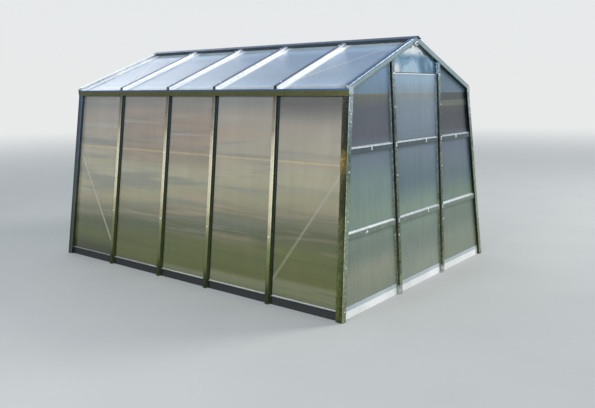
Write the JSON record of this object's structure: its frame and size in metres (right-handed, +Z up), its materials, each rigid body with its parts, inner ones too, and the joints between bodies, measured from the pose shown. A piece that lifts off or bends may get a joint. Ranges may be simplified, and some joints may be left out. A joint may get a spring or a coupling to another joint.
{
  "type": "polycarbonate greenhouse",
  "caption": "Pitched greenhouse with inward-leaning walls: a frame of folded galvanised steel, twin-wall polycarbonate sheets, base rails, eave rails and a ridge cap.",
  "frame": {"origin": "middle of the base on the ground", "axes": "+Z up, +Y along the ridge, the gable at -Y and the long wall at -X are the ones in the picture"},
  "size_m": [2.6566, 3.7962, 2.214],
  "materials": {
    "galvanised_steel": "spangled zinc, satin",
    "spangled_sheet": "bright spangled zinc sheet",
    "polycarbonate": "translucent twin-wall sheet with vertical flutes"
  },
  "bodies": {
    "root": {"base_rail_back": "galvanised_steel", "base_rail_front": "galvanised_steel", "base_rail_left": "galvanised_steel", "base_rail_right": "galvanised_steel", "corner_post_back_left": "galvanised_steel", "corner_post_back_right": "galvanised_steel", "corner_post_front_left": "galvanised_steel", "corner_post_front_right": "galvanised_steel", "eave_rail_left": "galvanised_steel", "eave_rail_right": "galvanised_steel", "gable_plate_back": "spangled_sheet", "gable_plate_front": "spangled_sheet", "gable_post_back_left": "galvanised_steel", "gable_post_back_right": "galvanised_steel", "gable_post_front_left": "galvanised_steel", "gable_post_front_right": "galvanised_steel", "gable_rail_back_lower": "galvanised_steel", "gable_rail_back_upper": "galvanised_steel", "gable_rail_front_lower": "galvanised_steel", "gable_rail_front_upper": "galvanised_steel", "gable_sheets_back_left": "polycarbonate", "gable_sheets_back_middle": "polycarbonate", "gable_sheets_back_right": "polycarbonate", "gable_sheets_front_left": "polycarbonate", "gable_sheets_front_middle": "polycarbonate", "gable_sheets_front_right": "polycarbonate", "rafters_left": "galvanised_steel", "rafters_right": "galvanised_steel", "ridge_cap": "galvanised_steel", "roof_braces_left": "galvanised_steel", "roof_braces_right": "galvanised_steel", "roof_sheets_left": "polycarbonate", "roof_sheets_right": "polycarbonate", "verge_back_left": "galvanised_steel", "verge_back_right": "galvanised_steel", "verge_front_left": "galvanised_steel", "verge_front_right": "galvanised_steel", "wall_braces_left": "galvanised_steel", "wall_braces_right": "galvanised_steel", "wall_girt_left": "galvanised_steel", "wall_girt_right": "galvanised_steel", "wall_posts_left": "galvanised_steel", "wall_posts_right": "galvanised_steel", "wall_sheets_left": "polycarbonate", "wall_sheets_right": "polycarbonate"}
  },
  "joints": []
}
